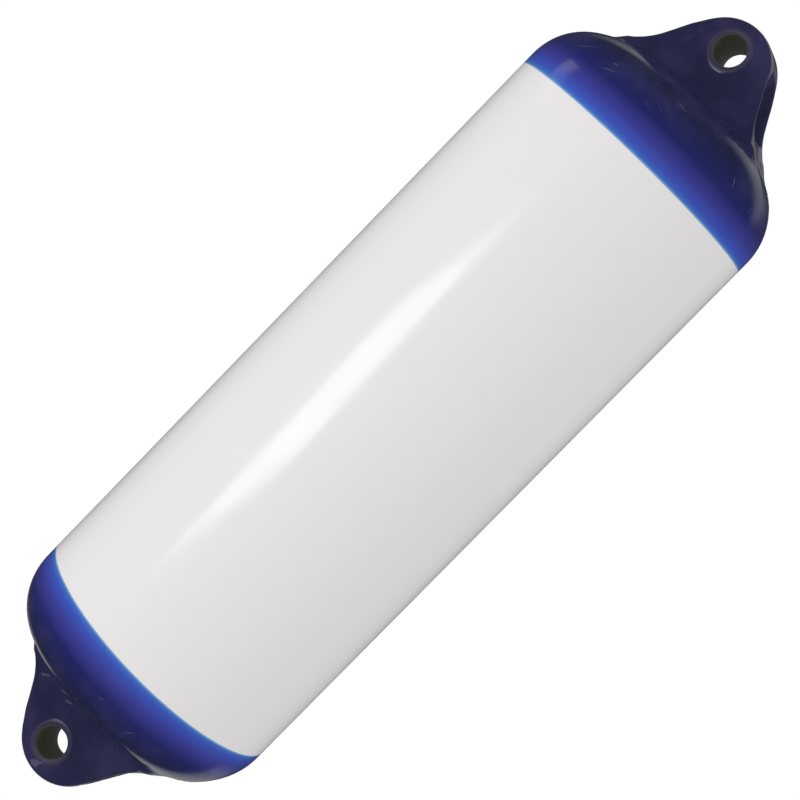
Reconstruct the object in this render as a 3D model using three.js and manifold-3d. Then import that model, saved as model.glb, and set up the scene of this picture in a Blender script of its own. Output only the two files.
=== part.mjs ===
// Boat fender with an eye at each end: a white tube closed by two blue end mouldings, blown up with air.
// Millimetres. +Z runs up along the fender's axis, and the origin is the centre of the upper eye's rope hole,
// which is where the fender hangs. The upper rope hole runs along Y.
import * as THREE from 'three';
import { mergeVertices } from 'three/addons/utils/BufferGeometryUtils.js';
import Module from 'manifold-3d';

// White tube
const BODY_DIAMETER = 220;
const TUBE_LENGTH = 500;
const TUBE_WALL = 3;

// Shoulder of each end moulding, its heights counted from the colour line
const SKIRT_HEIGHT = 9.5;
const DOME_HEIGHT = 58.5;
const DOME_FULLNESS = 2.3;
const SHOULDER_RADIUS = 55;
const CROWN_WALL = 6;
const SPIGOT_LENGTH = 16;
const SPIGOT_WALL = 4.5;

// Eye of each end moulding
const HOLE_HEIGHT = 109;
const HOLE_DIAMETER = 25;
const CROWN_ABOVE_HOLE = 26.5;
const HEAD_RADIUS = 38;
const HEAD_ARC_END = THREE.MathUtils.degToRad(88);
const EYE_THICKNESS = 42;
const FLANK_ANGLE = THREE.MathUtils.degToRad(29);
const FLANK_FOOT_HEIGHT = 87;
const FLARE_RADIUS = 49;
const FOOT_ANGLE = THREE.MathUtils.degToRad(34);
const EDGE_WIDTH = 10;
const EDGE_DEPTH = 5;
const ROOT_HEIGHT = 83.5;
const ROOT_FILLET = 22;
const ROOT_GATHER = 6;

// Rounded lip round each mouth of the rope hole
const LIP_WIDTH = 4.5;
const LIP_HEIGHT = 1.4;
const MOUTH_RADIUS = 2;
const MOUTH_END = THREE.MathUtils.degToRad(108);

// Pocket cored out of each side edge of the eye
const POCKET_TOP = 122;
const POCKET_TOP_WIDTH = 8;
const POCKET_MIDDLE_WIDTH = 34;
const POCKET_BOTTOM = 75.5;
const POCKET_BOTTOM_WIDTH = 37;
const POCKET_CORNER = 6;
const POCKET_EDGE = 4;
const CORE_WIDTH = 61;

// The lower end is welded on turned a little from the upper one, along a seam a little out of square
const LOWER_END_TWIST = THREE.MathUtils.degToRad(8);
const LOWER_SEAM_TILT = THREE.MathUtils.degToRad(1.6);

// Its rope hole sits a little off the middle of the eye
const LOWER_HOLE_OFFSET = 4;
const LOWER_HOLE_HEIGHT = 107.5;

// Air valve in the lower end's shoulder, on the side away from view
const VALVE_RADIUS_OUT = 74;
const VALVE_BORE = 8.6;
const VALVE_SEAT_DIAMETER = 16;
const VALVE_SEAT_DEPTH = 5;
const VALVE_BOSS_DIAMETER = 26;
const VALVE_BOSS_LENGTH = 18;
const SCREW_HEAD_HEIGHT = 2.6;
const SCREW_LENGTH = 20;
const SCREW_BEVEL = 0.6;
const SCREW_SLOT_WIDTH = 1.6;
const SCREW_SLOT_DEPTH = 1.4;
const O_RING_SECTION = 2;

// Air gap between two pieces that touch, and how far a cutter or a joined block runs past the face it meets
const CLEARANCE = 0.3;
const OVERRUN = 5;

// Straight sides standing in for each kind of curve
const ROUND_STEPS = 56;
const FINE_STEPS = 32;
const SHOULDER_STEPS = 9;
const FLARE_STEPS = 5;
const DOME_STEPS = 11;
const CAVITY_STEPS = 8;
const ROOT_STEPS = 6;
const LIP_STEPS = 3;
const RING_SECTION_STEPS = 8;
const RING_STEPS = 24;

const bodyRadius = BODY_DIAMETER / 2;
const tubeBore = bodyRadius - TUBE_WALL;
const seamRun = BODY_DIAMETER * Math.tan(LOWER_SEAM_TILT);
const spigotOuter = tubeBore - CLEARANCE;
const spigotInner = spigotOuter - SPIGOT_WALL;
const domeTop = SKIRT_HEIGHT + DOME_HEIGHT;
const tipHeight = HOLE_HEIGHT + CROWN_ABOVE_HOLE;
const headCentre = tipHeight - HEAD_RADIUS;
const halfThickness = EYE_THICKNESS / 2;
const holeRadius = HOLE_DIAMETER / 2;

const wasm = await Module();
wasm.setup();

// Volume of a closed mesh, negative where its faces point inwards
function signedVolume(position, index) {
  const a = new THREE.Vector3();
  const b = new THREE.Vector3();
  const c = new THREE.Vector3();
  let volume = 0;
  for (let i = 0; i < index.count; i += 3) {
    a.fromBufferAttribute(position, index.getX(i));
    b.fromBufferAttribute(position, index.getX(i + 1));
    c.fromBufferAttribute(position, index.getX(i + 2));
    volume += a.dot(b.cross(c)) / 6;
  }
  return volume;
}

function toSolid(geometry) {
  const bare = geometry.clone();
  bare.deleteAttribute('normal');
  bare.deleteAttribute('uv');
  const merged = mergeVertices(bare, 1e-4);
  const position = merged.getAttribute('position');
  const index = merged.getIndex();
  const turned = signedVolume(position, index) < 0;
  const triangles = [];
  for (let i = 0; i < index.count; i += 3) {
    const [a, b, c] = [index.getX(i), index.getX(i + 1), index.getX(i + 2)];
    if (a === b || b === c || c === a) continue;
    triangles.push(...(turned ? [a, c, b] : [a, b, c]));
  }
  return new wasm.Manifold(new wasm.Mesh({
    numProp: 3,
    vertProperties: new Float32Array(position.array),
    triVerts: new Uint32Array(triangles),
  }));
}

function toGeometry(solid) {
  const mesh = solid.getMesh();
  const geometry = new THREE.BufferGeometry();
  geometry.setAttribute('position', new THREE.BufferAttribute(mesh.vertProperties.slice(), 3));
  geometry.setIndex(new THREE.BufferAttribute(mesh.triVerts.slice(), 1));
  geometry.computeVertexNormals();
  return geometry;
}

// Turns a profile of [radius, height] points about the Z axis
function turned(profile, steps) {
  const points = profile.map(([radius, height]) => new THREE.Vector2(radius, height));
  return new THREE.LatheGeometry(points, steps, Math.PI / steps, 2 * Math.PI).rotateX(Math.PI / 2);
}

// Round bar along Z between two heights
function rod(radius, from, to, steps = FINE_STEPS) {
  return turned([[0, from], [radius, from], [radius, to], [0, to]], steps);
}

function closed(profile) {
  return [...profile, profile[0]];
}

// Points of an arc of [x, y], from one angle to another
function arc(centre, radius, from, to, steps) {
  const points = [];
  for (let i = 0; i <= steps; i += 1) {
    const angle = from + ((to - from) * i) / steps;
    points.push([centre[0] + radius * Math.cos(angle), centre[1] + radius * Math.sin(angle)]);
  }
  return points;
}

// Quarter of a full oval, from the skirt up to the axis
function ovalProfile(radius, height, steps) {
  const power = 2 / DOME_FULLNESS;
  const points = [];
  for (let i = 0; i <= steps; i += 1) {
    const angle = (Math.PI / 2) * (i / steps);
    const across = i === steps ? 0 : radius * Math.cos(angle) ** power;
    points.push([across, SKIRT_HEIGHT + height * Math.sin(angle) ** power]);
  }
  return points;
}

function domeRadius(height) {
  const share = Math.max(0, height - SKIRT_HEIGHT) / DOME_HEIGHT;
  return bodyRadius * Math.max(0, 1 - share ** DOME_FULLNESS) ** (1 / DOME_FULLNESS);
}

function domeHeight(radius) {
  return SKIRT_HEIGHT + DOME_HEIGHT * (1 - (radius / bodyRadius) ** DOME_FULLNESS) ** (1 / DOME_FULLNESS);
}

// The round head, up to just short of its topmost point
const headArc = arc([0, headCentre], HEAD_RADIUS, FLANK_ANGLE, HEAD_ARC_END, SHOULDER_STEPS);

// Outline of the end seen along the rope hole: shoulder, foot, flare, flank and round head
function eyeOutline() {
  const flankTop = [HEAD_RADIUS * Math.cos(FLANK_ANGLE), headCentre + HEAD_RADIUS * Math.sin(FLANK_ANGLE)];
  const flankRun = (flankTop[1] - FLANK_FOOT_HEIGHT) / Math.cos(FLANK_ANGLE);
  const flareCentre = [
    flankTop[0] + flankRun * Math.sin(FLANK_ANGLE) + FLARE_RADIUS * Math.cos(FLANK_ANGLE),
    FLANK_FOOT_HEIGHT + FLARE_RADIUS * Math.sin(FLANK_ANGLE),
  ];
  const shoulderCentre = [bodyRadius - SHOULDER_RADIUS, SKIRT_HEIGHT];
  const shoulder = arc(shoulderCentre, SHOULDER_RADIUS, 0, Math.PI / 2 - FOOT_ANGLE, SHOULDER_STEPS);
  const flareStart = 1.5 * Math.PI - FOOT_ANGLE;
  const flare = arc(flareCentre, FLARE_RADIUS, flareStart, Math.PI + FLANK_ANGLE, FLARE_STEPS);
  return [...shoulder, ...flare, ...headArc];
}

const outline = eyeOutline();

// Half width of the end moulding, across the rope hole, at a height
function halfWidth(height) {
  for (let i = 1; i < outline.length; i += 1) {
    const [lower, upper] = [outline[i - 1], outline[i]];
    if (height >= lower[1] && height <= upper[1]) {
      return lower[0] + ((height - lower[1]) / (upper[1] - lower[1])) * (upper[0] - lower[0]);
    }
  }
  return height < SKIRT_HEIGHT ? bodyRadius : outline[outline.length - 1][0];
}

// Half depth of the end moulding, along the rope hole, at a height
function halfDepth(height) {
  const rise = Math.max(0, ROOT_HEIGHT - height);
  const spread = ROOT_FILLET - Math.sqrt(Math.max(0, ROOT_FILLET ** 2 - rise ** 2));
  const crownShare = Math.min(1, Math.max(0, height - tipHeight + EDGE_DEPTH) / EDGE_DEPTH);
  const crown = EDGE_DEPTH * (1 - Math.sqrt(1 - crownShare ** 2));
  return Math.max(halfThickness - crown + spread, domeRadius(height));
}

// Section of the end moulding at a height: a circle at the skirt, an oval on the shoulder, and a flat cheek
// with rounded edges at the eye
function section(height) {
  const width = halfWidth(height);
  const depth = halfDepth(height);
  const gather = THREE.MathUtils.smoothstep(ROOT_HEIGHT - height, ROOT_GATHER, ROOT_FILLET);
  const cornerWidth = THREE.MathUtils.lerp(Math.min(EDGE_WIDTH, width / 2), width, gather);
  const cornerDepth = THREE.MathUtils.lerp(EDGE_DEPTH, depth, gather);
  const quarter = ROUND_STEPS / 4;
  const points = [];
  for (let i = 0; i < ROUND_STEPS; i += 1) {
    const angle = (2 * Math.PI * (i + 0.5)) / ROUND_STEPS;
    const side = i < quarter || i >= 3 * quarter ? 1 : -1;
    const front = i < 2 * quarter ? 1 : -1;
    const x = side * (width - cornerWidth) + cornerWidth * Math.cos(angle);
    const y = front * (depth - cornerDepth) + cornerDepth * Math.sin(angle);
    points.push(new THREE.Vector3(x, y, height));
  }
  return points;
}

// Closed solid through a row of sections, its two ends closed by flat caps
function loft(sections) {
  const steps = sections[0].length;
  const index = [];
  for (let level = 0; level + 1 < sections.length; level += 1) {
    for (let i = 0; i < steps; i += 1) {
      const next = (i + 1) % steps;
      const [a, b] = [level * steps + i, level * steps + next];
      index.push(a, b, b + steps, a, b + steps, a + steps);
    }
  }
  const last = (sections.length - 1) * steps;
  for (let i = 1; i + 1 < steps; i += 1) {
    index.push(0, i + 1, i);
    index.push(last, last + i, last + i + 1);
  }
  return new THREE.BufferGeometry().setFromPoints(sections.flat()).setIndex(index);
}

// Heights of the sections: close together where the shape turns
function sectionHeights() {
  const heights = [-seamRun, SKIRT_HEIGHT];
  const rootStart = ROOT_HEIGHT - ROOT_FILLET;
  for (const [, height] of ovalProfile(bodyRadius, DOME_HEIGHT, DOME_STEPS)) {
    if (height > SKIRT_HEIGHT && height < rootStart) heights.push(height);
  }
  for (let i = 0; i < ROOT_STEPS; i += 1) {
    heights.push(rootStart + ((ROOT_HEIGHT - rootStart) * i) / ROOT_STEPS);
  }
  heights.push(ROOT_HEIGHT, FLANK_FOOT_HEIGHT, HOLE_HEIGHT, ...headArc.map(([, height]) => height));
  return heights.sort((one, other) => one - other);
}

// Each rope hole is [offset across the eye, height] and runs along Y
function alongHole(geometry, hole) {
  return geometry.rotateX(-Math.PI / 2).translate(hole[0], 0, hole[1]);
}

function holeLip(hole) {
  const outer = holeRadius + LIP_WIDTH;
  const top = halfThickness + LIP_HEIGHT;
  const crown = arc([outer - LIP_HEIGHT, top - LIP_HEIGHT], LIP_HEIGHT, 0, Math.PI / 2, LIP_STEPS);
  const mirrored = crown.map(([radius, height]) => [radius, -height]).reverse();
  return alongHole(turned([[0, -top], ...mirrored, ...crown, [0, top]], FINE_STEPS), hole);
}

function holeCutter(hole) {
  const top = halfThickness + LIP_HEIGHT;
  const mouth = arc(
    [holeRadius + MOUTH_RADIUS, top - MOUTH_RADIUS],
    MOUTH_RADIUS,
    Math.PI,
    MOUTH_END,
    LIP_STEPS,
  );
  const far = [mouth[mouth.length - 1][0], top + OVERRUN];
  const upper = [...mouth, far];
  const lower = upper.map(([radius, height]) => [radius, -height]).reverse();
  return alongHole(turned([[0, lower[0][1]], ...lower, ...upper, [0, far[1]]], FINE_STEPS), hole);
}

// Pocket in one side edge of the eye: a blunt wedge, narrow beside the rope hole and wide above the shoulder,
// that leaves a solid core round the hole and a thin flange along each cheek
function pocketCutter(side) {
  const [top, middle, bottom] = [POCKET_TOP_WIDTH / 2, POCKET_MIDDLE_WIDTH / 2, POCKET_BOTTOM_WIDTH / 2];
  const shape = new THREE.Shape();
  shape.moveTo(-top, POCKET_TOP);
  shape.lineTo(-middle, HOLE_HEIGHT);
  shape.lineTo(-bottom, POCKET_BOTTOM + POCKET_CORNER);
  shape.quadraticCurveTo(-bottom, POCKET_BOTTOM, POCKET_CORNER - bottom, POCKET_BOTTOM);
  shape.lineTo(bottom - POCKET_CORNER, POCKET_BOTTOM);
  shape.quadraticCurveTo(bottom, POCKET_BOTTOM, bottom, POCKET_BOTTOM + POCKET_CORNER);
  shape.lineTo(middle, HOLE_HEIGHT);
  shape.lineTo(top, POCKET_TOP);
  const geometry = new THREE.ExtrudeGeometry(shape, {
    depth: bodyRadius,
    bevelThickness: POCKET_EDGE,
    bevelSize: POCKET_EDGE / 2,
    bevelOffset: -POCKET_EDGE / 2,
    bevelSegments: 2,
    curveSegments: 3,
  });
  const outwards = new THREE.Matrix4().makeBasis(
    new THREE.Vector3(0, 1, 0),
    new THREE.Vector3(0, 0, 1),
    new THREE.Vector3(1, 0, 0),
  );
  geometry.translate(0, 0, POCKET_EDGE + CORE_WIDTH / 2).applyMatrix4(outwards);
  return side > 0 ? geometry : geometry.rotateZ(Math.PI);
}

// Air space of the end moulding, open at the spigot
function cavity() {
  const top = ovalProfile(spigotInner, DOME_HEIGHT - CROWN_WALL, CAVITY_STEPS);
  const bottom = -SPIGOT_LENGTH - OVERRUN;
  return turned([[0, bottom], [spigotInner, bottom], ...top], ROUND_STEPS);
}

// Plug that laps inside the tube
function spigot() {
  return rod(spigotOuter, -SPIGOT_LENGTH, SKIRT_HEIGHT, ROUND_STEPS);
}

// Everything below a seam that crosses the axis at a height, tilted about Y and then turned about Z
function belowSeam(height, tilt = 0, turn = 0) {
  const block = new THREE.BoxGeometry(2 * BODY_DIAMETER, 2 * BODY_DIAMETER, BODY_DIAMETER);
  block.translate(0, 0, height - BODY_DIAMETER / 2).rotateY(tilt).rotateZ(turn);
  return toSolid(block);
}

function endMoulding(seamBlock, hole) {
  return toSolid(loft(sectionHeights().map(section)))
    .subtract(seamBlock)
    .add(toSolid(holeLip(hole)))
    .add(toSolid(spigot()))
    .subtract(toSolid(cavity()))
    .subtract(toSolid(pocketCutter(1)))
    .subtract(toSolid(pocketCutter(-1)))
    .subtract(toSolid(holeCutter(hole)));
}

// The valve's own frame: origin on the shoulder, +Z out of it, on the +Y side of the end
function atValve(geometry) {
  const [inner, outer] = [VALVE_RADIUS_OUT - CLEARANCE, VALVE_RADIUS_OUT + CLEARANCE];
  const slope = (domeHeight(outer) - domeHeight(inner)) / (outer - inner);
  return geometry.rotateX(Math.atan(slope)).translate(0, VALVE_RADIUS_OUT, domeHeight(VALVE_RADIUS_OUT));
}

function valveHole() {
  const seat = rod(VALVE_SEAT_DIAMETER / 2, -VALVE_SEAT_DEPTH, OVERRUN);
  const bore = rod(VALVE_BORE / 2, -VALVE_BOSS_LENGTH - OVERRUN, 0);
  return toSolid(atValve(seat)).add(toSolid(atValve(bore)));
}

function valveScrew() {
  const headRadius = VALVE_SEAT_DIAMETER / 2 - CLEARANCE;
  const shankRadius = VALVE_BORE / 2 - CLEARANCE;
  const headTop = -VALVE_SEAT_DEPTH + O_RING_SECTION + 2 * CLEARANCE + SCREW_HEAD_HEIGHT;
  const headBottom = headTop - SCREW_HEAD_HEIGHT;
  const profile = [
    [0, headTop - SCREW_LENGTH],
    [shankRadius - SCREW_BEVEL, headTop - SCREW_LENGTH],
    [shankRadius, headTop - SCREW_LENGTH + SCREW_BEVEL],
    [shankRadius, headBottom],
    [headRadius, headBottom],
    [headRadius, headTop - SCREW_BEVEL],
    [headRadius - SCREW_BEVEL, headTop],
    [0, headTop],
  ];
  const slot = new THREE.BoxGeometry(VALVE_SEAT_DIAMETER, SCREW_SLOT_WIDTH, 2 * SCREW_SLOT_DEPTH);
  slot.translate(0, 0, headTop);
  return toSolid(atValve(turned(profile, FINE_STEPS))).subtract(toSolid(atValve(slot)));
}

function valveRing() {
  const ringRadius = VALVE_BORE / 2 + CLEARANCE + O_RING_SECTION / 2;
  const height = -VALVE_SEAT_DEPTH + CLEARANCE + O_RING_SECTION / 2;
  const ring = new THREE.TorusGeometry(ringRadius, O_RING_SECTION / 2, RING_SECTION_STEPS, RING_STEPS);
  return toSolid(atValve(ring.translate(0, 0, height)));
}

// The tube's lower end is cut along the tilted seam
function tube() {
  const profile = [
    [tubeBore, -TUBE_LENGTH / 2 - seamRun],
    [bodyRadius, -TUBE_LENGTH / 2 - seamRun],
    [bodyRadius, TUBE_LENGTH / 2],
    [tubeBore, TUBE_LENGTH / 2],
  ];
  const cut = belowSeam(0, LOWER_SEAM_TILT).translate([0, 0, -TUBE_LENGTH / 2]);
  return toSolid(turned(closed(profile), ROUND_STEPS)).subtract(cut);
}

const whiteVinyl = new THREE.MeshStandardMaterial({ color: 0xe6e4e4, roughness: 0.3, metalness: 0 });
const blueVinyl = new THREE.MeshStandardMaterial({ color: 0x23236b, roughness: 0.22, metalness: 0 });
const valvePlastic = new THREE.MeshStandardMaterial({ color: 0x1c1c20, roughness: 0.4, metalness: 0 });
const sealRubber = new THREE.MeshStandardMaterial({ color: 0x151515, roughness: 0.7, metalness: 0 });

function named(name, solid, material) {
  const mesh = new THREE.Mesh(toGeometry(solid), material);
  mesh.name = name;
  return mesh;
}

// Upper end: colour line at the tube's top, eye upwards
const upperEnd = new THREE.Group();
upperEnd.position.z = TUBE_LENGTH / 2;
upperEnd.add(named('upper_end', endMoulding(belowSeam(CLEARANCE), [0, HOLE_HEIGHT]), blueVinyl));

// Lower end: the same moulding upside down, with the valve in its shoulder
const lowerEnd = new THREE.Group();
lowerEnd.position.z = -TUBE_LENGTH / 2;
lowerEnd.rotation.set(Math.PI, 0, Math.PI - LOWER_END_TWIST);
const lowerSeam = belowSeam(CLEARANCE, -LOWER_SEAM_TILT, LOWER_END_TWIST - Math.PI);
const boss = toSolid(atValve(rod(VALVE_BOSS_DIAMETER / 2, -VALVE_BOSS_LENGTH, -CROWN_WALL / 2)));
const lowerMoulding = endMoulding(lowerSeam, [LOWER_HOLE_OFFSET, LOWER_HOLE_HEIGHT]);
lowerEnd.add(named('lower_end', lowerMoulding.add(boss).subtract(valveHole()), blueVinyl));
lowerEnd.add(named('valve_screw', valveScrew(), valvePlastic));
lowerEnd.add(named('valve_o_ring', valveRing(), sealRubber));

const fender = new THREE.Group();
fender.position.z = -TUBE_LENGTH / 2 - HOLE_HEIGHT;
fender.add(named('body_tube', tube(), whiteVinyl));
fender.add(upperEnd, lowerEnd);

const model = new THREE.Group();
model.add(fender);

export default model;
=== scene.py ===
"""Looks of the boat fender: a white soft-PVC tube with two navy blue ends, each with a rope eye."""
import math

import bpy
import numpy as np
from mathutils import Matrix, Vector


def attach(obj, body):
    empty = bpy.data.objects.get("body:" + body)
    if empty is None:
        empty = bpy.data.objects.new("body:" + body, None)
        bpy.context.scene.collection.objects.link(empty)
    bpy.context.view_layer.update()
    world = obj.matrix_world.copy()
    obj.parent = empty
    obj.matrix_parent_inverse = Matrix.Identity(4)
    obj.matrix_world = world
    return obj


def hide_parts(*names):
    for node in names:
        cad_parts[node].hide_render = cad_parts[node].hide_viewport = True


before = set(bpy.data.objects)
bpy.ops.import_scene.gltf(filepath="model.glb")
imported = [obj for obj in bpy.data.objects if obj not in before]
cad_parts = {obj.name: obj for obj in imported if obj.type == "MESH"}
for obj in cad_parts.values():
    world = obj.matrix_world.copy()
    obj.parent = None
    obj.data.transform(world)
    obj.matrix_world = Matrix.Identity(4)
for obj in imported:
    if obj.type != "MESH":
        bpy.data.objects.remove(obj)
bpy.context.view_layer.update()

# Sizes in millimetres. Heights of an end are counted outwards from its colour line.
BODY_RADIUS = 110.0
TUBE_WALL = 3.0
TUBE_LENGTH = 500.0
HOLE_HEIGHT = 109.0
HOLE_RADIUS = 12.5
SKIRT_HEIGHT = 9.5
DOME_HEIGHT = 58.5
DOME_FULLNESS = 2.3
SHOULDER_RADIUS = 55.0
CROWN_WALL = 6.0
SPIGOT_LENGTH = 16.0
SPIGOT_WALL = 4.5
CLEARANCE = 0.3
CROWN_ABOVE_HOLE = 26.5
HEAD_RADIUS = 38.0
EYE_THICKNESS = 42.0
FLANK_ANGLE = math.radians(29)
FLANK_FOOT_HEIGHT = 87.0
FLARE_RADIUS = 49.0
FOOT_ANGLE = math.radians(34)
LIP_WIDTH = 4.5
LIP_HEIGHT = 0.9
POCKET_TOP = 122.0
POCKET_BOTTOM = 75.5
POCKET_DEPTH = 22.0
CORE_WIDTH = 61.0
LOWER_END_TWIST = math.radians(8)
LOWER_SEAM_TILT = math.radians(1.6)
LOWER_HOLE_OFFSET = 4.0
LOWER_HOLE_HEIGHT = 107.5
VALVE_RADIUS_OUT = 74.0
VALVE_BORE = 8.6
VALVE_SEAT_DIAMETER = 16.0
VALVE_SEAT_DEPTH = 5.0
VALVE_BOSS_DIAMETER = 26.0
VALVE_BOSS_LENGTH = 18.0

# Rounded edges of the eye as width and depth, on its flanges and on its head, and where one turns
# into the other
FLANGE_EDGE = (3.5, 4.0)
HEAD_EDGE = (7.0, 13.0)
HEAD_HEIGHTS = (104, 124)
# Shallow dished band along each flange: the flat core's half width by height, then the dish itself
CORE_HALF_WIDTH = ((80, 33.0), (109, 26.6), (122, 20.0))
DISH_DEPTH = 1.1
DISH_SLOPE = 2.5
DISH_OUTER_SIDE = (6, 13)
DISH_END_HEIGHTS = (112, 124)
# The eye's foot: how deep and how far out it reaches, then by how much and over which distances from
# the middle it gets thinner and sinks into the shoulder
EYE_BASE = 20.0
EYE_REACH = 96
FOOT_THINNING = 8
FOOT_THINNING_SPAN = (66, 90)
FOOT_SINKING = 12
FOOT_SINKING_SPAN = (57, 79)
# Distances from the middle over which the outline's wider rounding at the foot comes and goes
FOOT_OUTLINE_RISE = (50, 64)
FOOT_OUTLINE_FALL = (74, 90)
# Half width of the scoop's mouth by height, and how much it narrows for each millimetre of depth
POCKET_MOUTH = ((POCKET_BOTTOM, 17), (81, 17), (HOLE_HEIGHT, 16), (POCKET_TOP, 4))
POCKET_TAPER = 0.5
# Blends: how widely two surfaces are rounded into each other. The root's and the outline's are a least
# value and what is added to it, off the middle plane or at the foot.
ROOT_BLEND = (4, 16)
ROOT_BLEND_DEPTHS = (5, 18)
OUTLINE_BLEND = (2, 4)
POCKET_SIDE_BLEND = 6
POCKET_FLOOR_BLEND = 5
POCKET_TOP_BLEND = 3
POCKET_RIM_BLEND = 2
LIP_EDGE_BLEND = 2.2
LIP_FOOT_BLEND = 2
HOLE_RIM_BLEND = 2.4
VALVE_RIM_BLEND = 0.8

# Step of the grid on which an end's surface is found, points along an arc, and steps round the tube
GRID_STEP = 1.55
ARC_POINTS = 500
TUBE_STEPS = 360

MM = 0.001
TIP = HOLE_HEIGHT + CROWN_ABOVE_HOLE
HEAD_CENTRE = TIP - HEAD_RADIUS
UPPER_SEAM = -HOLE_HEIGHT
LOWER_SEAM = -HOLE_HEIGHT - TUBE_LENGTH
DOME_TOP = SKIRT_HEIGHT + DOME_HEIGHT
SPIGOT_RADIUS = BODY_RADIUS - TUBE_WALL - CLEARANCE

FLANK_TOP = (HEAD_RADIUS * math.cos(FLANK_ANGLE), HEAD_CENTRE + HEAD_RADIUS * math.sin(FLANK_ANGLE))
FLANK_RUN = (FLANK_TOP[1] - FLANK_FOOT_HEIGHT) / math.cos(FLANK_ANGLE)
FLARE_CENTRE = (
    FLANK_TOP[0] + FLANK_RUN * math.sin(FLANK_ANGLE) + FLARE_RADIUS * math.cos(FLANK_ANGLE),
    FLANK_FOOT_HEIGHT + FLARE_RADIUS * math.sin(FLANK_ANGLE),
)


def smooth_step(value, low, high):
    share = np.clip((value - low) / (high - low), 0, 1)
    return share * share * (3 - 2 * share)


def smooth_join(one, two, blend):
    """The smaller of two distances, rounded where they meet."""
    share = np.clip(0.5 + 0.5 * (two - one) / blend, 0, 1)
    return two + (one - two) * share - blend * share * (1 - share)


def smooth_cut(body, cutter, blend):
    """The body's distance with the cutter taken out and the rim rounded."""
    return -smooth_join(-body, cutter, blend)


def by_height(table, height):
    """Value read between the rows of a table of heights and values."""
    return np.interp(height, [row[0] for row in table], [row[1] for row in table])


def arc(centre, radius, start, end):
    angle = np.linspace(start, end, ARC_POINTS)
    return np.stack([centre[0] + radius * np.cos(angle), centre[1] + radius * np.sin(angle)], 1)


# Half width of the end seen along the rope hole: the shoulder's arc, then the arc into the flank
SHOULDER_CENTRE = (BODY_RADIUS - SHOULDER_RADIUS, SKIRT_HEIGHT)
SHOULDER = arc(SHOULDER_CENTRE, SHOULDER_RADIUS, 0, math.pi / 2 - FOOT_ANGLE)
FLARE = arc(FLARE_CENTRE, FLARE_RADIUS, 1.5 * math.pi - FOOT_ANGLE, math.pi + FLANK_ANGLE)
WIDTHS = np.concatenate([SHOULDER, FLARE])


def dome_radius(height):
    share = np.clip((height - SKIRT_HEIGHT) / DOME_HEIGHT, 0, 1)
    return BODY_RADIUS * np.maximum(1 - share**DOME_FULLNESS, 0) ** (1 / DOME_FULLNESS)


def shoulder_distance(x, y, z):
    """Ovals stacked up the end: as wide as its outline seen along the rope hole, as deep as the dome."""
    width = np.interp(z, WIDTHS[:, 1], WIDTHS[:, 0])
    across = np.hypot(x * dome_radius(z) / width, y) / BODY_RADIUS
    share = np.maximum(z - SKIRT_HEIGHT, 0) / DOME_HEIGHT
    form = (across**DOME_FULLNESS + share**DOME_FULLNESS) ** (1 / DOME_FULLNESS) - 1
    rise = share ** (DOME_FULLNESS - 1) / DOME_HEIGHT
    run = across ** (DOME_FULLNESS - 1) / BODY_RADIUS
    return form / np.maximum(np.hypot(rise, run), 0.3 / BODY_RADIUS)


def eye_outline(x, z):
    """Distance to the eye's outline seen along the rope hole: round head, straight flank, flared foot."""
    x = np.abs(x)
    head = np.hypot(x, z - HEAD_CENTRE) - HEAD_RADIUS
    flank_x, flank_z = x - FLANK_TOP[0], z - FLANK_TOP[1]
    flank = flank_x * math.cos(FLANK_ANGLE) + flank_z * math.sin(FLANK_ANGLE)
    along = -flank_x * math.sin(FLANK_ANGLE) + flank_z * math.cos(FLANK_ANGLE)
    flare_x, flare_z = x - FLARE_CENTRE[0], z - FLARE_CENTRE[1]
    flare = FLARE_RADIUS - np.hypot(flare_x, flare_z)
    foot_angle = 1.5 * math.pi - FOOT_ANGLE
    foot = -flare_x * math.cos(foot_angle) - flare_z * math.sin(foot_angle) + FLARE_RADIUS
    past_foot = flare_z * math.cos(foot_angle) - flare_x * math.sin(foot_angle) > 0
    near_head = (along > 0) | (flank_z > 6)
    return np.where(near_head, head, np.where(along > -FLANK_RUN, flank, np.where(past_foot, foot, flare)))


def side_profile(x, z):
    """Distance to the whole end's outline seen along the rope hole."""
    x = np.abs(x)
    arc_x, arc_z = x - SHOULDER_CENTRE[0], z - SHOULDER_CENTRE[1]
    shoulder = np.where(arc_z > 0, np.hypot(arc_x, arc_z) - SHOULDER_RADIUS, x - BODY_RADIUS)
    above = arc_z * math.sin(FOOT_ANGLE) - arc_x * math.cos(FOOT_ANGLE) > 0
    return np.where(above, eye_outline(x, z), shoulder)


def eye_thickness(x, z):
    """Half thickness of the eye: flat core, a slightly dished band along each flange, thinner at the foot."""
    x = np.abs(x)
    off_core = x - by_height(CORE_HALF_WIDTH, z)
    dish = np.clip(off_core / DISH_SLOPE, 0, 1) * DISH_DEPTH * (1 - smooth_step(off_core, *DISH_OUTER_SIDE))
    dish = dish * (1 - smooth_step(z, *DISH_END_HEIGHTS))
    return EYE_THICKNESS / 2 - dish - FOOT_THINNING * smooth_step(x, *FOOT_THINNING_SPAN)


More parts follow.
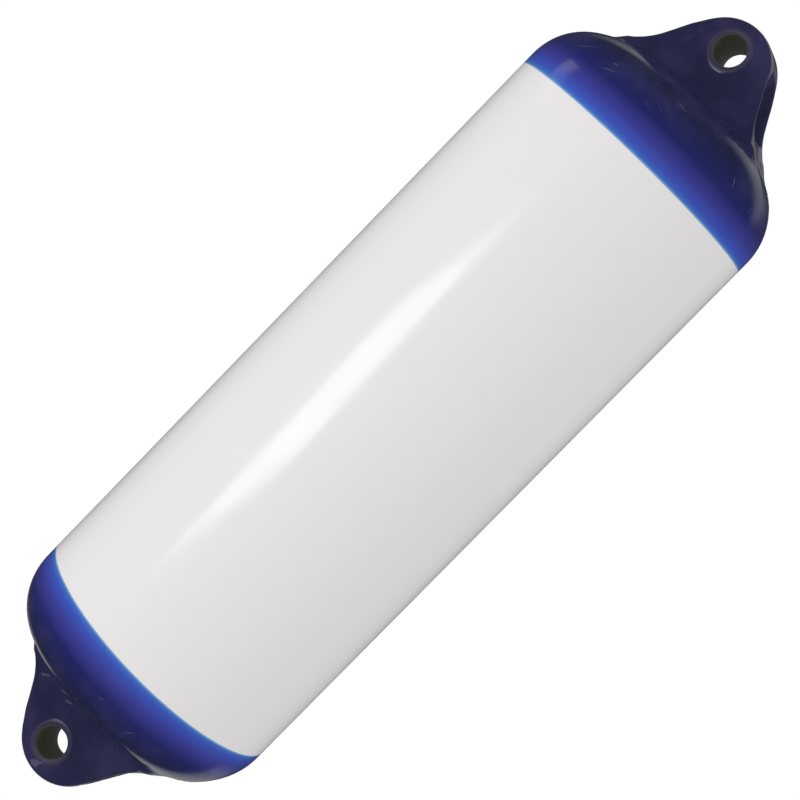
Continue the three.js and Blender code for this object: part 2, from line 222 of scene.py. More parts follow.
def eye_form(x, y, z):
    """Negative inside the eye, with its edges rounded softly on the flanges and widely on the head."""
    outline = np.maximum(eye_outline(x, z), np.abs(x) - EYE_REACH)
    on_head = smooth_step(z, *HEAD_HEIGHTS)
    edge_width = FLANGE_EDGE[0] + (HEAD_EDGE[0] - FLANGE_EDGE[0]) * on_head
    edge_depth = FLANGE_EDGE[1] + (HEAD_EDGE[1] - FLANGE_EDGE[1]) * on_head
    cheek = np.abs(y) - eye_thickness(x, z)
    across = np.maximum(outline + edge_width, 0) / edge_width
    deep = np.maximum(cheek + edge_depth, 0) / edge_depth
    inside = np.maximum(outline / edge_width, cheek / edge_depth)
    both = np.sqrt(across**2 + deep**2) - 1
    return np.maximum(np.where((across > 0) & (deep > 0), both, inside), (EYE_BASE - z) / EYE_BASE)


def as_distance(form, x, y, z):
    """A form's value over the length of its slope, which is close to a distance near the surface."""
    step = 0.05
    value = form(x, y, z)
    rise_x = form(x + step, y, z) - value
    rise_y = form(x, y + step, z) - value
    rise_z = form(x, y, z + step) - value
    slope = np.sqrt(rise_x**2 + rise_y**2 + rise_z**2)
    return value * step / np.maximum(slope, step / 60)


def pocket_form(x, y, z):
    """Scoop cored out of each flank between the two flanges, narrower the deeper it goes."""
    depth = np.clip(-eye_outline(x, z), 0, POCKET_DEPTH)
    half_width = by_height(POCKET_MOUTH, z) - POCKET_TAPER * depth
    sides = smooth_join(half_width - np.abs(y), z - POCKET_BOTTOM, POCKET_SIDE_BLEND)
    inner_end = np.abs(x) - CORE_WIDTH / 2
    return -smooth_join(smooth_join(sides, inner_end, POCKET_FLOOR_BLEND), POCKET_TOP - z, POCKET_TOP_BLEND)


def dome_height(radius):
    """Height over the colour line at which the dome has this radius."""
    return SKIRT_HEIGHT + DOME_HEIGHT * (1 - (radius / BODY_RADIUS) ** DOME_FULLNESS) ** (1 / DOME_FULLNESS)


def valve_place():
    """Point on the shoulder's far side where the valve sits, and the direction out of it."""
    height = dome_height(VALVE_RADIUS_OUT)
    slope = math.atan((dome_height(VALVE_RADIUS_OUT + CLEARANCE) - height) / CLEARANCE)
    return (0, VALVE_RADIUS_OUT, height), (0, -math.sin(slope), math.cos(slope))


VALVE_POINT, VALVE_OUT = valve_place()


def valve_coordinates(x, y, z):
    """Height over the valve's seat point and distance from its axis."""
    dy, dz = y - VALVE_POINT[1], z - VALVE_POINT[2]
    height = dy * VALVE_OUT[1] + dz * VALVE_OUT[2]
    across = dy * VALVE_OUT[2] - dz * VALVE_OUT[1]
    return height, np.hypot(x, across)


def shoulder_and_eye(x, y, z):
    """Shoulder and eye with a rounded root between them, held to the outline seen along the rope hole."""
    across = np.abs(x)
    eye = as_distance(eye_form, x, y, z) + FOOT_SINKING * smooth_step(across, *FOOT_SINKING_SPAN)
    root = ROOT_BLEND[0] + ROOT_BLEND[1] * smooth_step(np.abs(y), *ROOT_BLEND_DEPTHS)
    body = smooth_join(shoulder_distance(x, y, z), eye, root)
    near_foot = smooth_step(across, *FOOT_OUTLINE_RISE) * (1 - smooth_step(across, *FOOT_OUTLINE_FALL))
    return smooth_cut(body, -side_profile(x, z), OUTLINE_BLEND[0] + OUTLINE_BLEND[1] * near_foot)


def with_scoops(body, x, y, z):
    return smooth_cut(body, pocket_form(x, y, z), POCKET_RIM_BLEND)


def spigot(x, y, z):
    """Plug that reaches from the skirt into the tube."""
    ends = np.maximum(-SPIGOT_LENGTH - z, z - SKIRT_HEIGHT)
    return np.maximum(np.hypot(x, y) - SPIGOT_RADIUS, ends)


def air_room(x, y, z):
    """Room inside the end: a bore through the spigot and a dome under the crown.

    It is scaled down, because under the crown it rises faster than a distance.
    """
    share = np.clip((z - SKIRT_HEIGHT) / (DOME_HEIGHT - CROWN_WALL), 0, 1)
    room = (SPIGOT_RADIUS - SPIGOT_WALL) * np.maximum(1 - share**DOME_FULLNESS, 0) ** (1 / DOME_FULLNESS)
    air = np.maximum(np.hypot(x, y) - np.maximum(room, 0.5), z - (DOME_TOP - CROWN_WALL))
    return air * 0.7


def with_valve_seat(body, x, y, z):
    """Boss inside the shoulder for the air valve, with the screw's bore and the seat of its head."""
    height, from_axis = valve_coordinates(x, y, z)
    boss_ends = np.maximum(-VALVE_BOSS_LENGTH - height, height + CROWN_WALL / 2)
    body = np.minimum(body, np.maximum(from_axis - VALVE_BOSS_DIAMETER / 2, boss_ends))
    seat = np.maximum(from_axis - VALVE_SEAT_DIAMETER / 2, -VALVE_SEAT_DEPTH - height)
    return smooth_cut(body, np.minimum(seat, from_axis - VALVE_BORE / 2), VALVE_RIM_BLEND)


class EndShape:
    """Distance to the surface of one end moulding, in its own frame."""

    def __init__(self, hole, seam_tilt, seam_turn, valve):
        self.hole = hole
        self.seam_tilt = seam_tilt
        self.seam_turn = seam_turn
        self.valve = valve

    def seam(self, x, y, z):
        """Height over the colour line, which may be a little out of square."""
        along = x * math.cos(self.seam_turn) + y * math.sin(self.seam_turn)
        return (z + along * math.tan(self.seam_tilt)) * math.cos(self.seam_tilt)

    def distance(self, x, y, z):
        body = with_scoops(shoulder_and_eye(x, y, z), x, y, z)
        body = self.with_rope_hole(body, x, y, z)
        body = np.maximum(body, CLEARANCE / 2 - self.seam(x, y, z))
        body = np.minimum(body, spigot(x, y, z))
        body = np.maximum(body, -air_room(x, y, z))
        return with_valve_seat(body, x, y, z) if self.valve else body

    def with_rope_hole(self, body, x, y, z):
        """The rope hole through the eye, with a low lip round each mouth."""
        radius = np.hypot(x - self.hole[0], z - self.hole[1])
        lip_top = EYE_THICKNESS / 2 + LIP_HEIGHT
        lip = -smooth_join(HOLE_RADIUS + LIP_WIDTH - radius, lip_top - np.abs(y), LIP_EDGE_BLEND)
        body = smooth_join(body, lip, LIP_FOOT_BLEND)
        return smooth_cut(body, radius - HOLE_RADIUS, HOLE_RIM_BLEND)


def surface_net(values, low, step):
    """Closed quad mesh round the negative values of a grid."""
    cells = np.array(values.shape) - 1
    points, keys, quads = [], [], []
    for axis in range(3):
        second, third = (axis + 1) % 3, (axis + 2) % 3
        before = [slice(None)] * 3
        after = [slice(None)] * 3
        before[axis], after[axis] = slice(None, -1), slice(1, None)
        place = np.argwhere((values[tuple(before)] < 0) != (values[tuple(after)] < 0))
        beyond = place.copy()
        beyond[:, axis] += 1
        first_value, last_value = values[tuple(place.T)], values[tuple(beyond.T)]
        crossing = place.astype(float)
        crossing[:, axis] += first_value / (first_value - last_value)
        corners = []
        for back_second, back_third in ((0, 0), (1, 0), (1, 1), (0, 1)):
            cell = place.copy()
            cell[:, second] -= back_second
            cell[:, third] -= back_third
            key = (cell[:, 0] * cells[1] + cell[:, 1]) * cells[2] + cell[:, 2]
            corners.append(key)
            keys.append(key)
            points.append(crossing)
        quad = np.stack(corners, 1)
        flip = first_value > 0
        quad[flip] = quad[flip][:, ::-1]
        quads.append(quad)
    keys, points, quads = np.concatenate(keys), np.concatenate(points), np.concatenate(quads)
    unique, place = np.unique(keys, return_inverse=True)
    count = np.bincount(place)
    vertices = np.stack([np.bincount(place, points[:, i]) / count for i in range(3)], 1)
    return low + vertices * step, np.searchsorted(unique, quads)


def settle(shape, vertices, rounds=3):
    """Moves the vertices onto the true surface."""
    step = 0.04
    for _ in range(rounds):
        x, y, z = vertices.T
        value = shape.distance(x, y, z)
        slope = np.stack(
            [
                shape.distance(x + step, y, z) - shape.distance(x - step, y, z),
                shape.distance(x, y + step, z) - shape.distance(x, y - step, z),
                shape.distance(x, y, z + step) - shape.distance(x, y, z - step),
            ],
            1,
        ) / (2 * step)
        length = np.maximum((slope**2).sum(1), 0.05)
        move = np.clip(value / length, -0.6 * GRID_STEP, 0.6 * GRID_STEP)[:, None] * slope
        vertices = vertices - move
    return vertices


def sharpen_seam(shape, vertices):
    """Puts the rim of the skirt exactly on the colour line and on the body's radius."""
    x, y, z = vertices.T
    radius = np.hypot(x, y)
    height = shape.seam(x, y, z) - CLEARANCE / 2
    reach = 0.62 * GRID_STEP
    edge = (np.abs(height) < reach) & (np.abs(radius - BODY_RADIUS) < reach)
    scale = BODY_RADIUS / radius
    moved = vertices.copy()
    moved[edge, 0] *= scale[edge]
    moved[edge, 1] *= scale[edge]
    along = moved[:, 0] * math.cos(shape.seam_turn) + moved[:, 1] * math.sin(shape.seam_turn)
    level = CLEARANCE / 2 / math.cos(shape.seam_tilt) - along * math.tan(shape.seam_tilt)
    moved[edge, 2] = level[edge]
    return moved


def end_mesh(name, shape, to_row):
    """Skin of an end: its distance on a grid, a net round the surface, then put in the row's frame."""
    margin = 2.5 * GRID_STEP
    reach = BODY_RADIUS + margin
    low = np.array([-reach, -reach, -SPIGOT_LENGTH - margin])
    high = np.array([reach, reach, TIP + margin])
    count = np.ceil((high - low) / GRID_STEP).astype(int) + 1
    axes = [(low[i] + GRID_STEP * np.arange(count[i])).astype(np.float32) for i in range(3)]
    layers = []
    for x in axes[0]:
        y, z = np.meshgrid(axes[1], axes[2], indexing="ij")
        layers.append(shape.distance(np.full_like(y, x), y, z).astype(np.float32))
    vertices, quads = surface_net(np.stack(layers), low, GRID_STEP)
    vertices = sharpen_seam(shape, settle(shape, vertices))
    mesh = bpy.data.meshes.new(name)
    mesh.from_pydata((vertices * MM).tolist(), [], quads.tolist())
    mesh.transform(to_row)
    mesh.validate()
    mesh.shade_smooth()
    mesh.set_sharp_from_angle(angle=math.radians(55))
    piece = bpy.data.objects.new(name, mesh)
    bpy.context.collection.objects.link(piece)
    return piece


UPPER_PLACE = Matrix.Translation((0, 0, UPPER_SEAM * MM))
LOWER_PLACE = (
    Matrix.Translation((0, 0, LOWER_SEAM * MM))
    @ Matrix.Rotation(math.pi, 4, "X")
    @ Matrix.Rotation(math.pi - LOWER_END_TWIST, 4, "Z")
)
upper_shape = EndShape((0, HOLE_HEIGHT), 0, 0, valve=False)
lower_shape = EndShape(
    (LOWER_HOLE_OFFSET, LOWER_HOLE_HEIGHT), -LOWER_SEAM_TILT, LOWER_END_TWIST - math.pi, valve=True
)
upper_end = end_mesh("upper_end_skin", upper_shape, UPPER_PLACE)
lower_end = end_mesh("lower_end_skin", lower_shape, LOWER_PLACE)


def maths(tree, operation, one, two=0.0):
    """Adds a Math node that takes numbers or other nodes' outputs, and gives its result."""
    node = tree.nodes.new("ShaderNodeMath")
    node.operation = operation
    for socket, value in zip(node.inputs, (one, two)):
        if isinstance(value, (int, float)):
            socket.default_value = value
        else:
            tree.links.new(value, socket)
    return node.outputs[0]


def tube_tree():
    """White tube: a wall section swept round a circle, its lower rim slanted along the tilted colour line."""
    tree = bpy.data.node_groups.new("white tube", "GeometryNodeTree")
    for label, kind in (
        ("Outer radius", "NodeSocketFloat"),
        ("Wall", "NodeSocketFloat"),
        ("Length", "NodeSocketFloat"),
        ("Lower seam tilt", "NodeSocketFloat"),
        ("Steps round", "NodeSocketInt"),
        ("Skin", "NodeSocketMaterial"),
    ):
        tree.interface.new_socket(label, in_out="INPUT", socket_type=kind)
    tree.interface.new_socket("Geometry", in_out="OUTPUT", socket_type="NodeSocketGeometry")
    nodes, links = tree.nodes, tree.links
    given = nodes.new("NodeGroupInput")

    half_wall = maths(tree, "MULTIPLY", given.outputs["Wall"], 0.5)
    middle_radius = maths(tree, "SUBTRACT", given.outputs["Outer radius"], half_wall)
    ring = nodes.new("GeometryNodeCurvePrimitiveCircle")
    links.new(given.outputs["Steps round"], ring.inputs["Resolution"])
    links.new(middle_radius, ring.inputs["Radius"])
    section = nodes.new("GeometryNodeCurvePrimitiveQuadrilateral")
    links.new(given.outputs["Wall"], section.inputs["Width"])
    links.new(given.outputs["Length"], section.inputs["Height"])
    sweep = nodes.new("GeometryNodeCurveToMesh")
    links.new(ring.outputs["Curve"], sweep.inputs["Curve"])
    links.new(section.outputs["Curve"], sweep.inputs["Profile Curve"])
    place = nodes.new("GeometryNodeInputPosition")
    split = nodes.new("ShaderNodeSeparateXYZ")
    links.new(place.outputs[0], split.inputs[0])
    on_lower_rim = maths(tree, "LESS_THAN", split.outputs["Z"], 0)
    slope = maths(tree, "TANGENT", given.outputs["Lower seam tilt"])
    drop = maths(tree, "MULTIPLY", maths(tree, "MULTIPLY", split.outputs["X"], slope), -1)
    offset = nodes.new("ShaderNodeCombineXYZ")
    links.new(maths(tree, "MULTIPLY", drop, on_lower_rim), offset.inputs["Z"])
    tilt = nodes.new("GeometryNodeSetPosition")
    links.new(sweep.outputs["Mesh"], tilt.inputs["Geometry"])
    links.new(offset.outputs[0], tilt.inputs["Offset"])
    realize = nodes.new("GeometryNodeRealizeInstances")
    links.new(tilt.outputs["Geometry"], realize.inputs["Geometry"])
    skin = nodes.new("GeometryNodeSetMaterial")
    links.new(realize.outputs["Geometry"], skin.inputs["Geometry"])
    links.new(given.outputs["Skin"], skin.inputs["Material"])
    out = nodes.new("NodeGroupOutput")
    links.new(skin.outputs["Geometry"], out.inputs["Geometry"])
    return tree


def made_plain(name, tree, values):
    """Runs a Geometry Nodes tree on an empty mesh and keeps the result as a plain mesh."""
    carrier = bpy.data.objects.new(name + "_carrier", bpy.data.meshes.new(name + "_carrier"))
    bpy.context.collection.objects.link(carrier)
    modifier = carrier.modifiers.new("shape", "NODES")
    modifier.node_group = tree
    for item in tree.interface.items_tree:
        if item.in_out == "INPUT" and item.name in values:
            modifier[item.identifier] = values[item.name]
    graph = bpy.context.evaluated_depsgraph_get()
    mesh = bpy.data.meshes.new_from_object(carrier.evaluated_get(graph))
    bpy.data.objects.remove(carrier)
    mesh.name = name
    piece = bpy.data.objects.new(name, mesh)
    bpy.context.collection.objects.link(piece)
    return piece


def linear(value):
    """One 0 to 255 value of a screen colour as linear light."""
    share = value / 255
    return share / 12.92 if share <= 0.04045 else ((share + 0.055) / 1.055) ** 2.4


def srgb(red, green, blue):
    """Screen colour as linear light, fully opaque."""
    return (linear(red), linear(green), linear(blue), 1.0)


# Colour of the blue ends by distance in millimetres from the colour line, with painted light in it. The pale
# cyan at the line is a painted glow of light through the thin edge. The darkening outwards is partly the
# blue's own deeper colour and partly painted shade and dark reflection. The paler last stop, on the eye's
# cheeks, is a painted reflection.
BLUE_FADE_AND_PAINTED_LIGHT = (
    (0, srgb(140, 190, 230)),
    (1.5, srgb(66, 112, 196)),
    (5, srgb(60, 85, 187)),
    (14, srgb(59, 62, 150)),
    (27, srgb(33, 38, 100)),
    (50, srgb(32, 35, 68)),
    (140, srgb(46, 44, 76)),
)
BLUE_REACH = BLUE_FADE_AND_PAINTED_LIGHT[-1][0]
# Dust and scratches show on the blue from here outwards, in millimetres from the colour line
WEAR_START = (20, 40)
WHITE_COLOUR = srgb(236, 234, 234)
DUST_COLOUR = srgb(72, 68, 116)
DUST_STRENGTH = 0.3
SCRATCH_COLOUR = srgb(120, 116, 142)
# The lip's paler ring is a painted highlight, standing for light on the raised lip
LIP_PAINTED_HIGHLIGHT = srgb(76, 72, 104)
LIP_HIGHLIGHT_STRENGTH = 0.2
LIP_DULLNESS = 0.25
# The hole's olive-grey wall is partly its own colour and partly painted shade inside the hole
HOLE_WALL_COLOUR_AND_SHADE = srgb(82, 88, 72)
HOLE_WALL_DULLNESS = 0.3
# The hole wall's colour ends between these distances outside the hole, the lip's within this distance
# either side of the lip's edge, in millimetres
HOLE_WALL_FADE = (0.3, 1.2)
LIP_FADE = 1
NYLON_COLOUR = srgb(28, 28, 31)
SEAL_COLOUR = srgb(20, 20, 20)
FLOOR_COLOUR = srgb(228, 228, 226)

# The soft skin's patterns: how many cells of noise to a metre, and between which values they show
WAVE_SCALE = 55
GRAIN_SCALE = 420
GRAIN_SHARE = 0.015
SKIN_RELIEF = 0.0004
DUST_SCALE = 34
DUST_RANGE = (0.42, 0.68)
SCRATCH_TURN = (0.5, 0.3, 0.9)
SCRATCH_SCALE = (60, 640, 60)
SCRATCH_RANGE = (0.785, 0.82)


def soft_skin_group():
    """Soft vinyl's unevenness, patchy shine, dust and short scratches, shared by the white and the blue."""
    group = bpy.data.node_groups.new("soft vinyl skin", "ShaderNodeTree")
    for label in ("Unevenness", "Shine", "Patchiness", "Scratches"):
        group.interface.new_socket(label, in_out="INPUT", socket_type="NodeSocketFloat")
    group.interface.new_socket("Normal", in_out="OUTPUT", socket_type="NodeSocketVector")
    for label in ("Roughness", "Dust", "Scratch"):
        group.interface.new_socket(label, in_out="OUTPUT", socket_type="NodeSocketFloat")
    given = group.nodes.new("NodeGroupInput")
    out = group.nodes.new("NodeGroupOutput")
    place = group.nodes.new("ShaderNodeTexCoord").outputs["Object"]

    def noise(scale, detail, vector):
        node = group.nodes.new("ShaderNodeTexNoise")
        node.inputs["Scale"].default_value = scale
        node.inputs["Detail"].default_value = detail
        group.links.new(vector, node.inputs["Vector"])
        return node.outputs["Fac"]

    def between(value, low, high):
        node = group.nodes.new("ShaderNodeMapRange")
        node.inputs["From Min"].default_value = low
        node.inputs["From Max"].default_value = high
        group.links.new(value, node.inputs["Value"])
        return node.outputs["Result"]

    waves = noise(WAVE_SCALE, 2, place)
    grain = noise(GRAIN_SCALE, 3, place)
    height = maths(group, "ADD", waves, maths(group, "MULTIPLY", grain, GRAIN_SHARE))
    bump = group.nodes.new("ShaderNodeBump")
    bump.inputs["Distance"].default_value = SKIN_RELIEF
    group.links.new(given.outputs["Unevenness"], bump.inputs["Strength"])
    group.links.new(height, bump.inputs["Height"])
    group.links.new(bump.outputs["Normal"], out.inputs["Normal"])
    dust = between(noise(DUST_SCALE, 7, place), *DUST_RANGE)
    group.links.new(dust, out.inputs["Dust"])
    patch = maths(group, "MULTIPLY", dust, given.outputs["Patchiness"])
    group.links.new(maths(group, "ADD", given.outputs["Shine"], patch), out.inputs["Roughness"])
    stretch = group.nodes.new("ShaderNodeMapping")
    stretch.inputs["Rotation"].default_value = SCRATCH_TURN
    stretch.inputs["Scale"].default_value = SCRATCH_SCALE
    group.links.new(place, stretch.inputs["Vector"])
    scratch = between(noise(1, 0, stretch.outputs["Vector"]), *SCRATCH_RANGE)
    group.links.new(maths(group, "MULTIPLY", scratch, given.outputs["Scratches"]), out.inputs["Scratch"])
    return group


SOFT_SKIN = soft_skin_group()


def add_skin(tree, shader, unevenness, shine, patchiness, scratches):
    skin = tree.nodes.new("ShaderNodeGroup")
    skin.node_tree = SOFT_SKIN
    skin.inputs["Unevenness"].default_value = unevenness
    skin.inputs["Shine"].default_value = shine
    skin.inputs["Patchiness"].default_value = patchiness
    skin.inputs["Scratches"].default_value = scratches
    tree.links.new(skin.outputs["Normal"], shader.inputs["Normal"])
    tree.links.new(skin.outputs["Roughness"], shader.inputs["Roughness"])
    return skin


def white_vinyl():
    material = bpy.data.materials.new("white_vinyl")
    material.use_nodes = True
    shader = material.node_tree.nodes["Principled BSDF"]
    shader.inputs["Base Color"].default_value = WHITE_COLOUR
    add_skin(material.node_tree, shader, unevenness=0.12, shine=0.15, patchiness=0.05, scratches=0)
    return material


def mix_colour(tree, share, one, two):
    """Colour one turning to colour two as the share goes from 0 to 1."""
    mix = tree.nodes.new("ShaderNodeMix")
    mix.data_type = "RGBA"
    tree.links.new(share, mix.inputs["Factor"])
    tree.links.new(one, mix.inputs["A"])
    mix.inputs["B"].default_value = two
    return mix.outputs["Result"]


def soft_share(tree, value, low, high):
    """0 where the value is at or under low, 1 where it is at or over high, with a soft change between."""
    node = tree.nodes.new("ShaderNodeMapRange")
    node.interpolation_type = "SMOOTHSTEP"
    node.inputs["From Min"].default_value = low
    node.inputs["From Max"].default_value = high
    tree.links.new(value, node.inputs["Value"])
    return node.outputs["Result"]


def seam_share(tree, place, seam_height, outwards, tilt):
    """Distance from the colour line as a share of the blue's reach."""
    split = tree.nodes.new("ShaderNodeSeparateXYZ")
    tree.links.new(place, split.inputs[0])
    rise = maths(tree, "SUBTRACT", split.outputs["Z"], seam_height * MM)
    rise = maths(tree, "ADD", rise, maths(tree, "MULTIPLY", split.outputs["X"], math.tan(tilt)))
    return maths(tree, "MULTIPLY", rise, outwards / (BLUE_REACH * MM))


def blue_fade_and_painted_light(tree, share):
    """The blue's colours along its reach, with the painted glow, shade and reflection in them."""
    fade = tree.nodes.new("ShaderNodeValToRGB")
    stops = fade.color_ramp.elements
    stops[0].position, stops[0].color = 0, BLUE_FADE_AND_PAINTED_LIGHT[0][1]
    stops[1].position, stops[1].color = 1, BLUE_FADE_AND_PAINTED_LIGHT[-1][1]
    for distance, colour in BLUE_FADE_AND_PAINTED_LIGHT[1:-1]:
        stop = stops.new(distance / BLUE_REACH)
        stop.color = colour
    tree.links.new(share, fade.inputs["Fac"])
    return fade.outputs["Color"]


def axis_distance(tree, place, hole_place, hole_axis):
    """Distance in metres from the rope hole's axis."""

    def vector(operation, one, two=None):
        node = tree.nodes.new("ShaderNodeVectorMath")
        node.operation = operation
        tree.links.new(one, node.inputs[0])
        if two is not None:
            node.inputs[1].default_value = two
        return node.outputs

    offset = vector("SUBTRACT", place, hole_place)[0]
    across = vector("CROSS_PRODUCT", offset, hole_axis)[0]
    return vector("LENGTH", across)["Value"]


def blue_vinyl(name, seam_height, outwards, tilt, hole_place, hole_axis):
    """Blue vinyl, lighter near the colour line with a painted glow there and partly painted shade and
    reflection outwards, a painted highlight as a paler ring on the lip round the rope hole, and an olive-grey
    hole wall that is partly painted shade.
    """
    material = bpy.data.materials.new(name)
    material.use_nodes = True
    tree = material.node_tree
    shader = tree.nodes["Principled BSDF"]
    place = tree.nodes.new("ShaderNodeTexCoord").outputs["Object"]
    share = seam_share(tree, place, seam_height, outwards, tilt)
    colour = blue_fade_and_painted_light(tree, share)

    skin = add_skin(tree, shader, unevenness=0.15, shine=0.14, patchiness=0.08, scratches=0.35)
    worn = soft_share(tree, share, WEAR_START[0] / BLUE_REACH, WEAR_START[1] / BLUE_REACH)
    dusty = maths(tree, "MULTIPLY", maths(tree, "MULTIPLY", skin.outputs["Dust"], DUST_STRENGTH), worn)
    colour = mix_colour(tree, dusty, colour, DUST_COLOUR)
    scratched = maths(tree, "MULTIPLY", skin.outputs["Scratch"], worn)
    colour = mix_colour(tree, scratched, colour, SCRATCH_COLOUR)

    radius = axis_distance(tree, place, hole_place, hole_axis)
    wall_start, wall_end = (HOLE_RADIUS + distance for distance in HOLE_WALL_FADE)
    off_wall = soft_share(tree, radius, wall_start * MM, wall_end * MM)
    lip_edge = HOLE_RADIUS + LIP_WIDTH
    off_lip = soft_share(tree, radius, (lip_edge - LIP_FADE) * MM, (lip_edge + LIP_FADE) * MM)
    on_wall = maths(tree, "SUBTRACT", 1, off_wall)
    on_lip = maths(tree, "SUBTRACT", 1, off_lip)
    # Painted highlight: the lip is mixed towards a paler colour
    colour = mix_colour(tree, maths(tree, "MULTIPLY", on_lip, LIP_HIGHLIGHT_STRENGTH), colour, LIP_PAINTED_HIGHLIGHT)
    # Painted shade: the hole's wall turns to a dark olive grey
    colour = mix_colour(tree, on_wall, colour, HOLE_WALL_COLOUR_AND_SHADE)
    tree.links.new(colour, shader.inputs["Base Color"])
    wall_dullness = maths(tree, "MULTIPLY", on_wall, HOLE_WALL_DULLNESS)
    lip_dullness = maths(tree, "MULTIPLY", on_lip, LIP_DULLNESS)
    rough = maths(tree, "ADD", skin.outputs["Roughness"], wall_dullness)
    tree.links.new(maths(tree, "ADD", rough, lip_dullness), shader.inputs["Roughness"])
    return material


def plain_material(name, colour, roughness):
    material = bpy.data.materials.new(name)
    material.use_nodes = True
    shader = material.node_tree.nodes["Principled BSDF"]
    shader.inputs["Base Color"].default_value = colour
    shader.inputs["Roughness"].default_value = roughness
    return material


WHITE = white_vinyl()
lower_hole = LOWER_PLACE @ Vector((LOWER_HOLE_OFFSET * MM, 0, LOWER_HOLE_HEIGHT * MM))
lower_axis = LOWER_PLACE.to_3x3() @ Vector((0, 1, 0))
UPPER_BLUE = blue_vinyl("blue_vinyl_upper", UPPER_SEAM, 1, 0, (0, 0, 0), (0, 1, 0))
LOWER_BLUE = blue_vinyl("blue_vinyl_lower", LOWER_SEAM, -1, LOWER_SEAM_TILT, lower_hole, lower_axis)
NYLON = plain_material("black_nylon", NYLON_COLOUR, roughness=0.4)
SEAL = plain_material("seal_rubber", SEAL_COLOUR, roughness=0.7)

body_tube = made_plain(
    "body_tube_skin",
    tube_tree(),
    {
        "Outer radius": BODY_RADIUS * MM,
        "Wall": TUBE_WALL * MM,
        "Length": TUBE_LENGTH * MM,
        "Lower seam tilt": LOWER_SEAM_TILT,
        "Steps round": TUBE_STEPS,
        "Skin": WHITE,
    },
)
body_tube.data.transform(Matrix.Translation((0, 0, (UPPER_SEAM - TUBE_LENGTH / 2) * MM)))
for face in body_tube.data.polygons:
    face.use_smooth = True
body_tube.data.set_sharp_from_angle(angle=math.radians(40))

upper_end.data.materials.append(UPPER_BLUE)
lower_end.data.materials.append(LOWER_BLUE)
for node, material in (("valve_screw", NYLON), ("valve_o_ring", SEAL)):
    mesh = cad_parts[node].data
    mesh.materials.clear()
    mesh.materials.append(material)

for piece, node, slot in (
    (body_tube, "body_tube", "white_vinyl"),
    (upper_end, "upper_end", "blue_vinyl"),
    (lower_end, "lower_end", "blue_vinyl"),
):
    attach(piece, "root")
    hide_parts(node)


# Camera, fitted to the photo: it is rolled, so that the hanging fender leans across the picture
CAMERA_PLACE = Vector((0.5566, -1.38258, -0.22572))
CAMERA_RIGHT = Vector((0.641152, 0.321593, 0.69678))
CAMERA_UP = Vector((-0.670492, -0.206937, 0.712473))
CAMERA_FORWARD = Vector((-0.373316, 0.923989, -0.082947))
CAMERA_LENS = 90.23

camera_data = bpy.data.cameras.new("camera")
camera_data.sensor_width = 36
camera_data.lens = CAMERA_LENS
camera_data.clip_end = 50
camera = bpy.data.objects.new("camera", camera_data)
turn = Matrix((CAMERA_RIGHT, CAMERA_UP, -CAMERA_FORWARD)).transposed().to_4x4()
camera.matrix_world = Matrix.Translation(CAMERA_PLACE) @ turn
bpy.context.collection.objects.link(camera)
bpy.context.scene.camera = camera


def lamp(name, place, aim, width, height, power, along=(0, 0, 1)):
    """Soft box that shines from a place towards an aim, its height lying along a direction."""
    data = bpy.data.lights.new(name, "AREA")
    data.shape = "RECTANGLE"
    data.size = width
    data.size_y = height
    data.energy = power
    box = bpy.data.objects.new(name, data)
    back = (Vector(place) - Vector(aim)).normalized()
    along = Vector(along)
    up = (along - along.dot(back) * back).normalized()
    turn = Matrix((up.cross(back), up, back)).transposed().to_4x4()
    box.matrix_world = Matrix.Translation(place) @ turn
    bpy.context.collection.objects.link(box)


# Softbox on the left that makes the long highlight on the white, and a small one for the upper shoulder
lamp(
    "strip softbox",
    place=(-0.40, -1.20, -0.48),
    aim=(0, -0.11, -0.38),
    width=0.45,
    height=0.46,
    power=3.15,
    along=(-0.45, 0, 1),
)
lamp(
    "left reflector",
    place=(-1.21, -0.36, 0.16),
    aim=(-0.05, -0.1, -0.1),
    width=0.3,
    height=0.34,
    power=0.34,
)

# Pale round floor of 1 m radius, half a metre under the lower eye
FLOOR_HEIGHT = -1.25
FLOOR_SIDES = 96
floor_mesh = bpy.data.meshes.new("floor")
angles = [math.tau * side / FLOOR_SIDES for side in range(FLOOR_SIDES)]
rim = [(math.cos(angle), math.sin(angle), FLOOR_HEIGHT) for angle in angles]
floor_mesh.from_pydata(rim, [], [tuple(range(FLOOR_SIDES))])
floor = bpy.data.objects.new("floor", floor_mesh)
floor.data.materials.append(plain_material("pale_floor", FLOOR_COLOUR, roughness=0.8))
floor.visible_glossy = False
bpy.context.collection.objects.link(floor)

# The studio's light. The gloss shows a dim room with pale panels behind the fender, above and below its
# level. All other light is soft and stronger from behind. Facing is 1 straight behind the fender and -1
# in front of it.
ROOM_GLOSS = 0.03
PANEL_GLOSS = 0.42
PANEL_FACING = (0.67, 0.77)
PANEL_OFF_LEVEL = (0.3, 0.5)
SOFT_FACING = (-0.2, 0.9)
SOFT_STRENGTH = (0.79, 1.15)


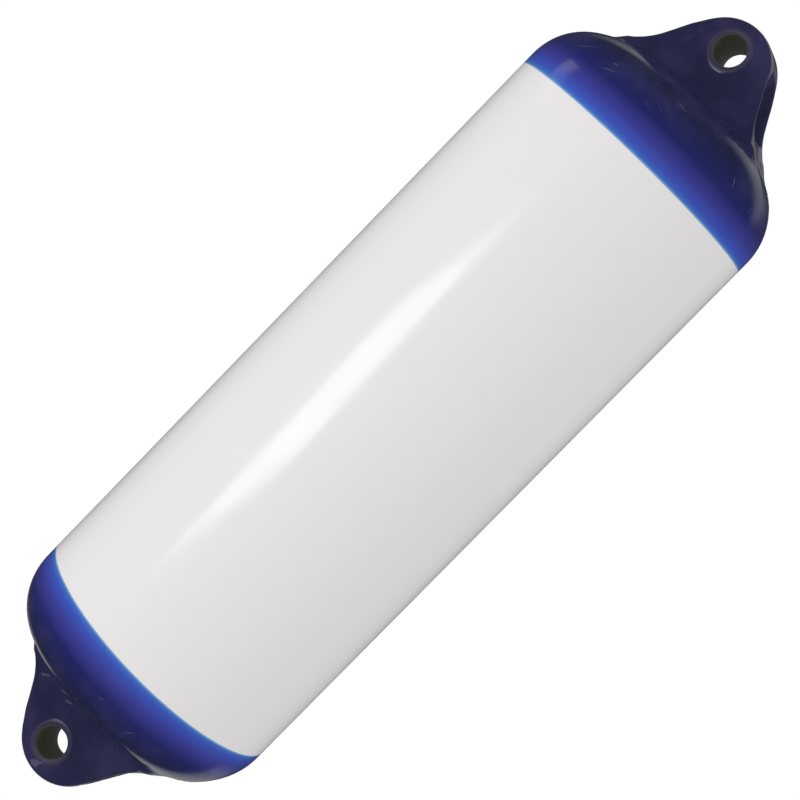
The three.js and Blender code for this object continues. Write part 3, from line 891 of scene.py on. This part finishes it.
def studio_world():
    """Light all round: white to the camera, a dim room with pale panels in the gloss, soft for the rest."""
    world = bpy.data.worlds.new("studio")
    world.use_nodes = True
    tree = world.node_tree
    tree.nodes.clear()
    ray = tree.nodes.new("ShaderNodeLightPath")
    direction = tree.nodes.new("ShaderNodeTexCoord").outputs["Generated"]
    split = tree.nodes.new("ShaderNodeSeparateXYZ")
    tree.links.new(direction, split.inputs[0])
    facing = tree.nodes.new("ShaderNodeVectorMath")
    facing.operation = "DOT_PRODUCT"
    facing.inputs[1].default_value = (0, 1, 0)
    tree.links.new(direction, facing.inputs[0])
    behind = soft_share(tree, facing.outputs["Value"], *PANEL_FACING)
    off_level = soft_share(tree, maths(tree, "ABSOLUTE", split.outputs["Z"]), *PANEL_OFF_LEVEL)
    panels = maths(tree, "MULTIPLY", behind, off_level)
    gloss = maths(tree, "ADD", maths(tree, "MULTIPLY", panels, PANEL_GLOSS), ROOM_GLOSS)
    soft = tree.nodes.new("ShaderNodeMapRange")
    soft.inputs["From Min"].default_value, soft.inputs["From Max"].default_value = SOFT_FACING
    soft.inputs["To Min"].default_value, soft.inputs["To Max"].default_value = SOFT_STRENGTH
    tree.links.new(facing.outputs["Value"], soft.inputs["Value"])

    def background(strength=None):
        node = tree.nodes.new("ShaderNodeBackground")
        node.inputs["Color"].default_value = (1, 1, 1, 1)
        if strength is not None:
            tree.links.new(strength, node.inputs["Strength"])
        return node.outputs[0]

    def choose(ray_kind, otherwise, chosen):
        node = tree.nodes.new("ShaderNodeMixShader")
        tree.links.new(ray.outputs[ray_kind], node.inputs["Fac"])
        tree.links.new(otherwise, node.inputs[1])
        tree.links.new(chosen, node.inputs[2])
        return node.outputs[0]

    by_gloss = choose("Is Glossy Ray", background(soft.outputs["Result"]), background(gloss))
    by_camera = choose("Is Camera Ray", by_gloss, background())
    out = tree.nodes.new("ShaderNodeOutputWorld")
    tree.links.new(by_camera, out.inputs["Surface"])
    return world


bpy.context.scene.world = studio_world()
bpy.context.scene.view_settings.view_transform = "Standard"
